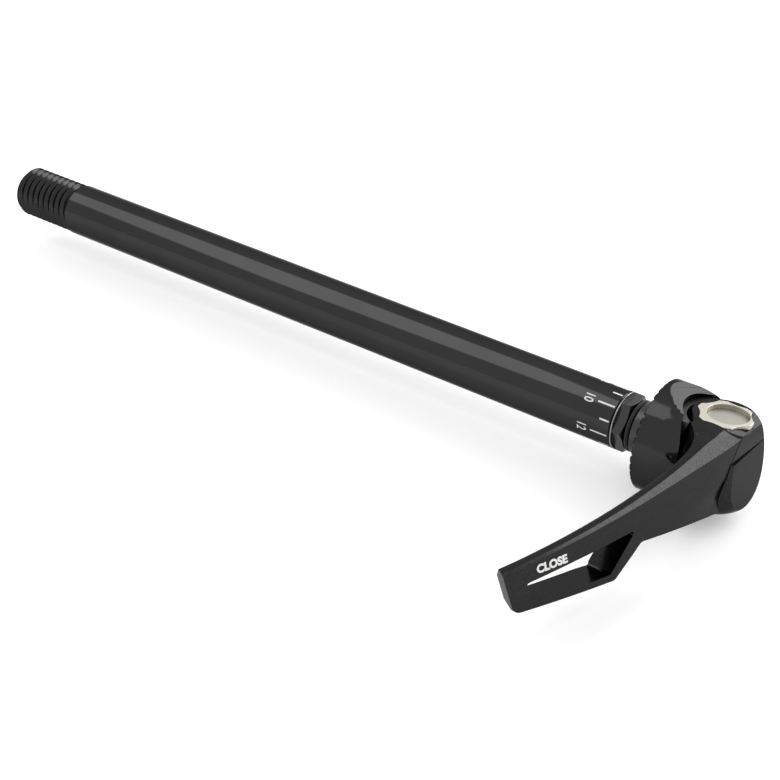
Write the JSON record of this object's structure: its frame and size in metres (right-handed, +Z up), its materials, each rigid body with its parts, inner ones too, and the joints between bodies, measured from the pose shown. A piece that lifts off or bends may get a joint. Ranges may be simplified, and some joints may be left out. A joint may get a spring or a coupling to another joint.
{
  "type": "bicycle thru axle",
  "caption": "Hollow threaded thru axle with a toothed clamp cup and a cam lever that swings a quarter turn to clamp the wheel.",
  "frame": {"origin": "on the axle's axis, at the clamp plane where the cup's teeth meet the frame", "axes": "+X along the axle towards the lever, +Z up along the lever's pivot, and the closed lever points to -Y"},
  "size_m": [0.1945, 0.0831, 0.023],
  "materials": {
    "axle": "gloss black anodised",
    "shaft": "black plated",
    "screw": "plain zinc plated",
    "seal": "matte black",
    "spring": "bright spring steel",
    "cup": "gloss black anodised",
    "bushing": "black polymer",
    "lever": "satin black anodised",
    "star": "satin nickel",
    "nut": "bright nickel"
  },
  "bodies": {
    "axle": {"axle_tube": "axle"},
    "head": {"head_shaft": "shaft", "index_screw": "screw", "index_washer": "screw", "neck_seal": "seal", "return_springs": "spring", "barrel_nut": "nut"},
    "collar": {"clamp_cup": "cup", "cam_bushing": "bushing"},
    "lever": {"lever": "lever", "star_adjuster": "star", "lower_bush": "bushing"}
  },
  "joints": [
    {"name": "index_turn", "type": "hinge", "parent": "axle", "child": "head", "pos_m": [-0.0076, 0, 0], "axis": [1, 0, 0], "continuous": true},
    {"name": "lever_swing", "type": "hinge", "parent": "head", "child": "lever", "pos_m": [0.01345, 0, 0], "axis": [0, 0, 1], "range_deg": [0, 90]},
    {"name": "cup_slide", "type": "slide", "parent": "head", "child": "collar", "axis": [1, 0, 0], "range_m": [0, 0.00086]}
  ],
  "couplings": [
    {"joint": "cup_slide", "follows": "lever_swing", "m_per_rad": 0.00054}
  ]
}
